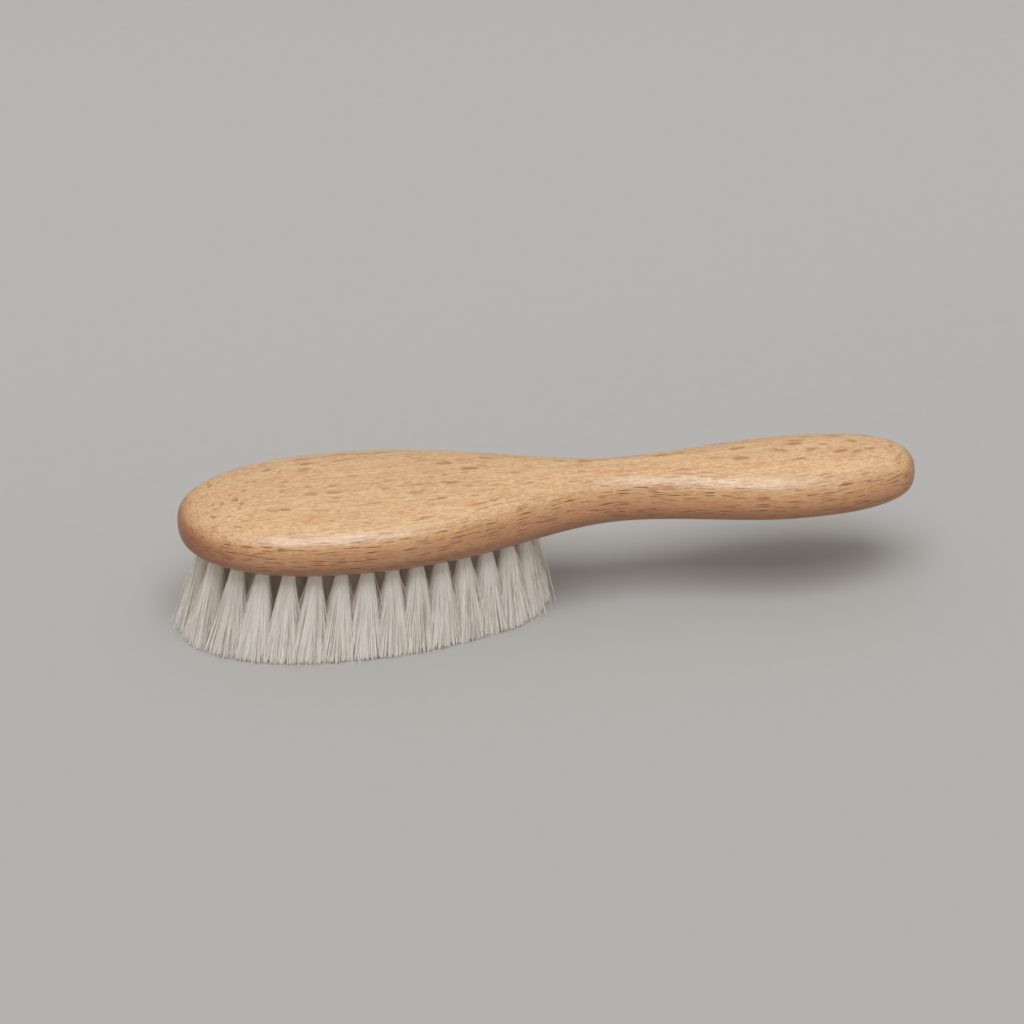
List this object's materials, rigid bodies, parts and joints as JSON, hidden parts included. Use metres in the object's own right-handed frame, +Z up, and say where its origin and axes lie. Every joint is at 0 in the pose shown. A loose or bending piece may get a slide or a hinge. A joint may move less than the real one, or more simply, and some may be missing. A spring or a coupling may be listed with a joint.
{
  "type": "baby grooming brush",
  "caption": "Small hand brush: a waisted, rounded wooden handle and oval head in one piece, its flat underside set with fanned tufts of soft hair.",
  "frame": {"origin": "middle of the bounding box at its base, which is the ground plane that the hair tips stand on", "axes": "+X from the nose of the head to the butt of the handle, +Z up from the hair tips to the top of the wood, +Y across the brush"},
  "size_m": [0.16, 0.0428, 0.0321],
  "materials": {
    "beech": "oiled, satin",
    "goat_hair": "natural hair, soft sheen"
  },
  "bodies": {
    "root": {"brush_body": "beech", "outer_tuft_01": "goat_hair", "outer_tuft_02": "goat_hair", "outer_tuft_03": "goat_hair", "outer_tuft_04": "goat_hair", "outer_tuft_05": "goat_hair", "outer_tuft_06": "goat_hair", "outer_tuft_07": "goat_hair", "outer_tuft_08": "goat_hair", "outer_tuft_09": "goat_hair", "outer_tuft_10": "goat_hair", "outer_tuft_11": "goat_hair", "outer_tuft_12": "goat_hair", "outer_tuft_13": "goat_hair", "outer_tuft_14": "goat_hair", "outer_tuft_15": "goat_hair", "outer_tuft_16": "goat_hair", "outer_tuft_17": "goat_hair", "outer_tuft_18": "goat_hair", "outer_tuft_19": "goat_hair", "outer_tuft_20": "goat_hair", "outer_tuft_21": "goat_hair", "outer_tuft_22": "goat_hair", "outer_tuft_23": "goat_hair", "outer_tuft_24": "goat_hair", "outer_tuft_25": "goat_hair", "outer_tuft_26": "goat_hair", "outer_tuft_27": "goat_hair", "outer_tuft_28": "goat_hair", "outer_tuft_29": "goat_hair", "outer_tuft_30": "goat_hair", "middle_tuft_01": "goat_hair", "middle_tuft_02": "goat_hair", "middle_tuft_03": "goat_hair", "middle_tuft_04": "goat_hair", "middle_tuft_05": "goat_hair", "middle_tuft_06": "goat_hair", "middle_tuft_07": "goat_hair", "middle_tuft_08": "goat_hair", "middle_tuft_09": "goat_hair", "middle_tuft_10": "goat_hair", "middle_tuft_11": "goat_hair", "middle_tuft_12": "goat_hair", "middle_tuft_13": "goat_hair", "middle_tuft_14": "goat_hair", "middle_tuft_15": "goat_hair", "middle_tuft_16": "goat_hair", "middle_tuft_17": "goat_hair", "middle_tuft_18": "goat_hair", "centre_tuft_01": "goat_hair", "centre_tuft_02": "goat_hair", "centre_tuft_03": "goat_hair", "centre_tuft_04": "goat_hair", "centre_tuft_05": "goat_hair", "centre_tuft_06": "goat_hair"}
  },
  "joints": []
}
